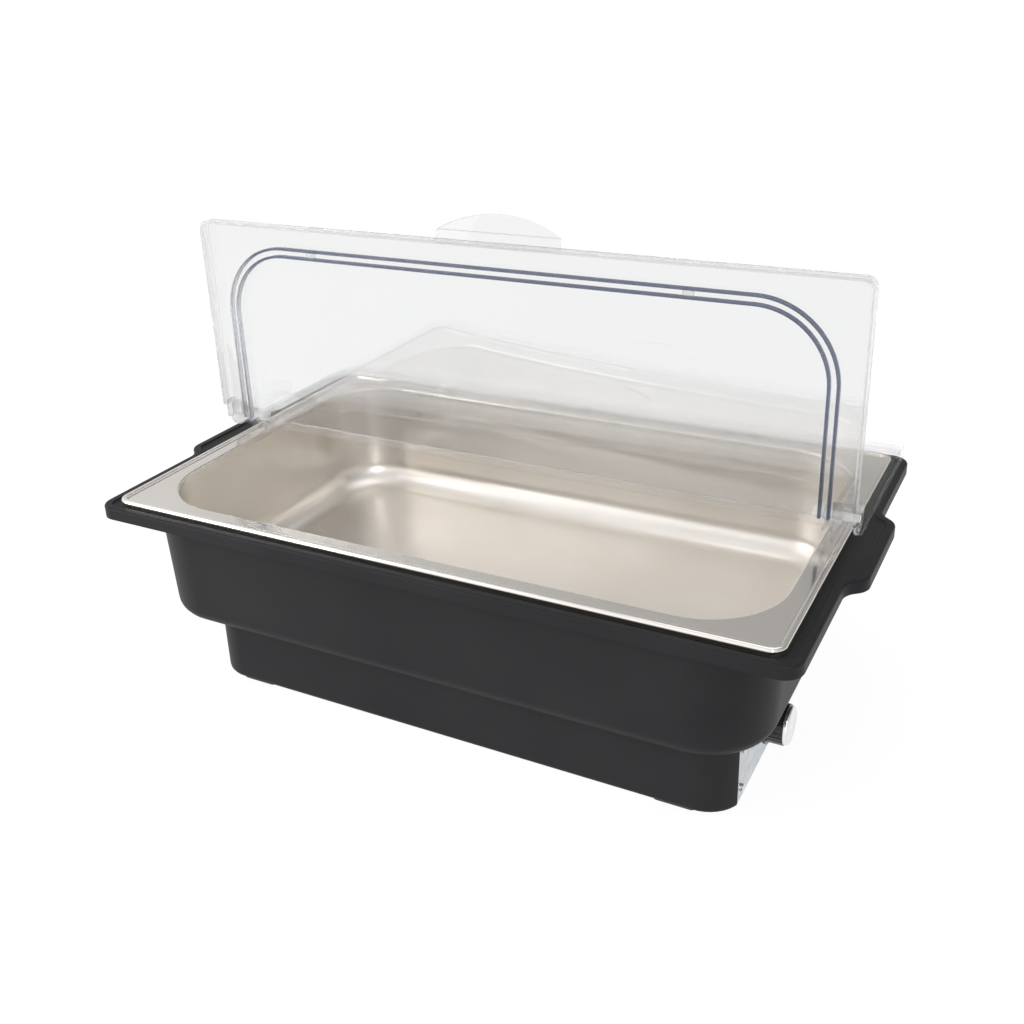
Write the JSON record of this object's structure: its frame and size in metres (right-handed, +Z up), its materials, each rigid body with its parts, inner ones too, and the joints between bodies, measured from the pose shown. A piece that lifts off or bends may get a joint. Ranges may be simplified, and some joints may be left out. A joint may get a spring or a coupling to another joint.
{
  "type": "electric chafing dish food warmer",
  "caption": "Electric chafing dish: black plastic water-bath housing with hand grips, full-size steel food pan, clear lid folding in two leaves, thermostat knob on one end.",
  "frame": {"origin": "on the floor under the middle of the housing's lip", "axes": "+X along the length towards the control end, +Y to the back, +Z up"},
  "size_m": [0.58, 0.3644, 0.3654],
  "materials": {
    "housing_plastic": "fine-textured black polypropylene, satin",
    "foot_rubber": "soft matt rubber",
    "zinc_plate": "zinc-coated sheet steel, faint spangle",
    "screw_steel": "bright zinc-plated steel",
    "pan_steel": "satin stainless steel with a polished rim",
    "gasket_rubber": "red silicone",
    "element_steel": "heat-tinted steel sheath",
    "insulation_fibre": "pressed mineral fibre",
    "dark_plastic": "black heat-resistant plastic",
    "cream_plastic": "cream heat-resistant moulding",
    "bulb_brass": "drawn copper alloy",
    "lamp_lens": "amber lens",
    "knob_gloss": "gloss black",
    "knob_chrome": "bright plated cap with a turned face",
    "pin_nylon": "natural nylon",
    "lid_clear": "clear polycarbonate"
  },
  "bodies": {
    "housing": {"housing_shell": "housing_plastic", "foot_pads": "foot_rubber", "bottom_cover": "zinc_plate", "bottom_cover_screws": "screw_steel", "control_plate": "zinc_plate", "control_plate_screws": "screw_steel", "water_tray": "pan_steel", "tray_gasket": "gasket_rubber", "heating_element": "element_steel", "clamp_plate": "zinc_plate", "clamp_studs": "screw_steel", "clamp_nuts": "screw_steel", "insulation_pad": "insulation_fibre", "thermal_cutout": "dark_plastic", "thermostat_body": "cream_plastic", "thermostat_screws": "screw_steel", "sensing_bulb": "bulb_brass", "indicator_lamp": "lamp_lens", "power_inlet": "dark_plastic", "inlet_screws": "screw_steel", "terminal_block": "cream_plastic", "earth_stud": "bulb_brass"},
    "knob": {"thermostat_shaft": "screw_steel", "knob_body": "knob_gloss", "knob_cap": "knob_chrome"},
    "pan": {"food_pan": "pan_steel"},
    "lid_pins": {"hinge_pin_left": "pin_nylon", "hinge_pin_right": "pin_nylon"},
    "lid_front": {"front_leaf": "lid_clear"},
    "lid_rear": {"rear_leaf": "lid_clear"}
  },
  "joints": [
    {"name": "knob_turn", "type": "hinge", "parent": "housing", "child": "knob", "pos_m": [0.231, -0.062, 0.034], "axis": [1, 0, 0], "range_deg": [-300, 0]},
    {"name": "pan_lift", "type": "slide", "parent": "housing", "child": "pan", "axis": [0, 0, 1], "range_m": [0, 0.11]},
    {"name": "lid_lift", "type": "slide", "parent": "pan", "child": "lid_pins", "axis": [0, 0, 1], "range_m": [0, 0.04]},
    {"name": "front_leaf_hinge", "type": "hinge", "parent": "lid_pins", "child": "lid_front", "pos_m": [0, 0, 0.172], "axis": [1, 0, 0], "range_deg": [0, 90]},
    {"name": "rear_leaf_hinge", "type": "hinge", "parent": "lid_pins", "child": "lid_rear", "pos_m": [0, 0, 0.172], "axis": [1, 0, 0], "range_deg": [0, 84]}
  ]
}
